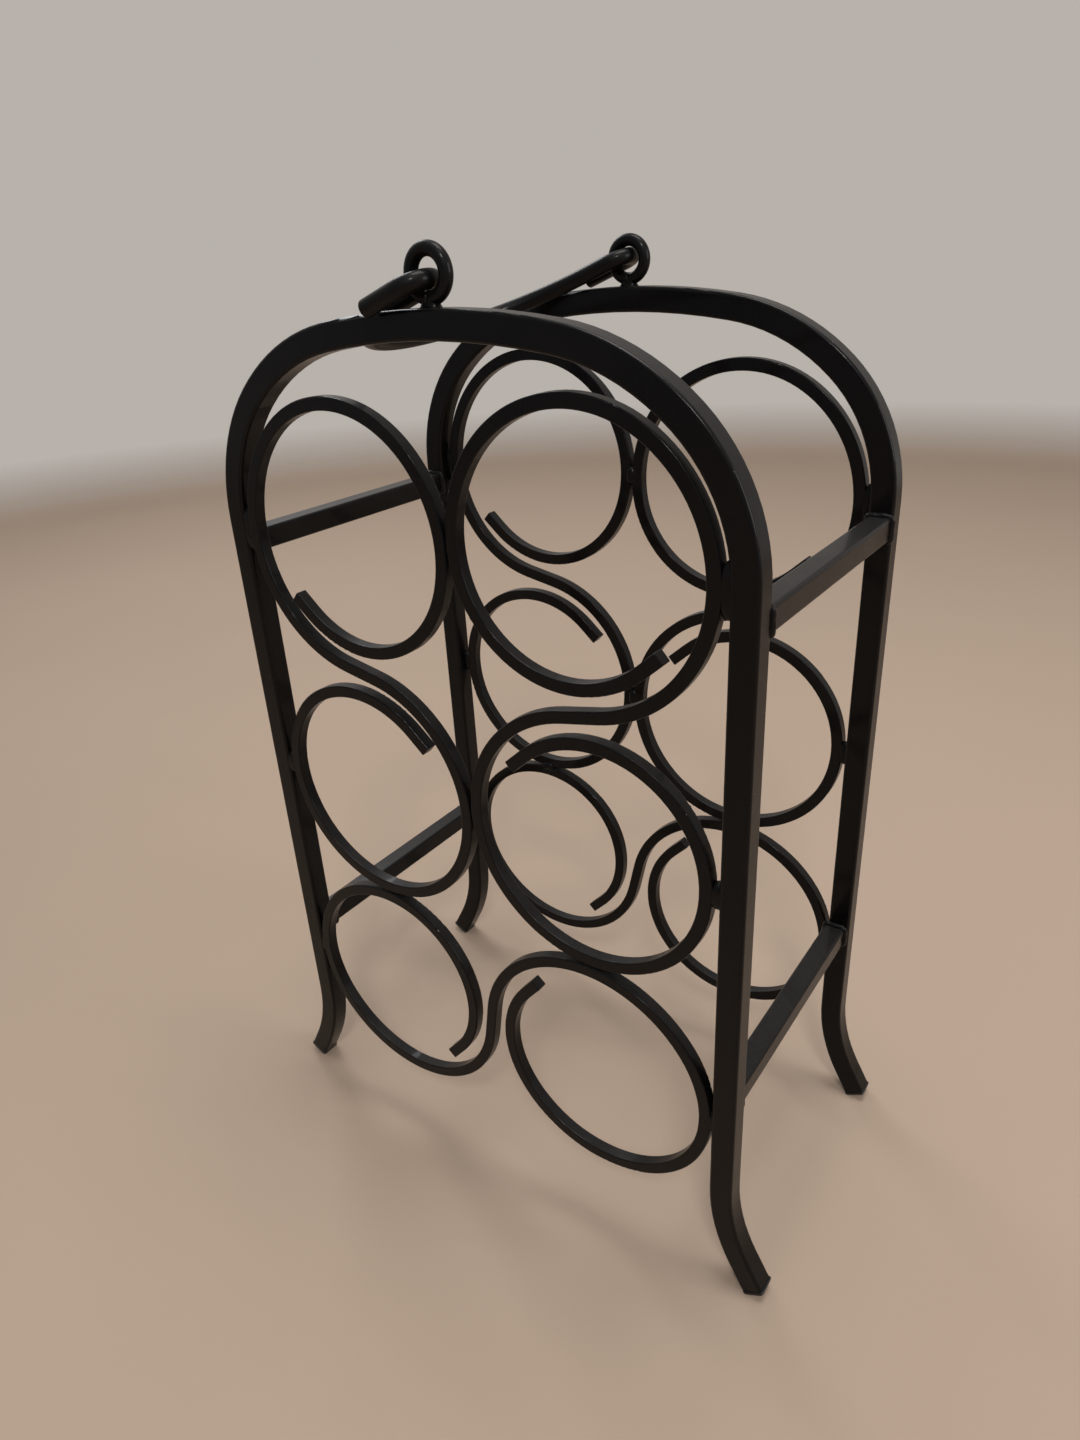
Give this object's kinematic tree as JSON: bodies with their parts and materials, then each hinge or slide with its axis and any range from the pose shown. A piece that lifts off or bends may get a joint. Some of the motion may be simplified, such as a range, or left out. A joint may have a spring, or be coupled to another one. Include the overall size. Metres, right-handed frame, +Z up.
{
  "type": "wine rack",
  "caption": "Arched metal wine rack: bent-bar end frames on flared feet, joined by crossbars and filled with scroll rings that hold lying bottles, under a swinging carry handle.",
  "frame": {"origin": "on the floor, in the middle between the four feet", "axes": "+X to the right seen from the front, +Y from the front arch to the back arch, +Z up"},
  "size_m": [0.2736, 0.1506, 0.4089],
  "materials": {
    "bar_coat": "satin black powder coat",
    "rod_coat": "semi-gloss black powder coat",
    "weld_coat": "satin black powder coat over weld beads",
    "plug_plastic": "moulded black plastic"
  },
  "bodies": {
    "rack": {"front_arch": "bar_coat", "back_arch": "bar_coat", "upper_left_crossbar": "bar_coat", "upper_right_crossbar": "bar_coat", "lower_left_crossbar": "bar_coat", "lower_right_crossbar": "bar_coat", "front_left_scroll": "bar_coat", "front_right_scroll": "bar_coat", "front_lower_scroll": "bar_coat", "back_left_scroll": "bar_coat", "back_right_scroll": "bar_coat", "back_lower_scroll": "bar_coat", "front_left_foot_plug": "plug_plastic", "front_right_foot_plug": "plug_plastic", "back_left_foot_plug": "plug_plastic", "back_right_foot_plug": "plug_plastic", "front_eyelet": "rod_coat", "back_eyelet": "rod_coat", "front_panel_welds": "weld_coat", "back_panel_welds": "weld_coat", "crossbar_welds": "weld_coat", "eyelet_welds": "weld_coat"},
    "handle": {"handle": "rod_coat"}
  },
  "joints": [
    {"name": "handle_swing", "type": "hinge", "parent": "rack", "child": "handle", "pos_m": [0, 0, 0.39901], "axis": [0, 0.9997, 0.0227], "range_deg": [0, 220]}
  ]
}
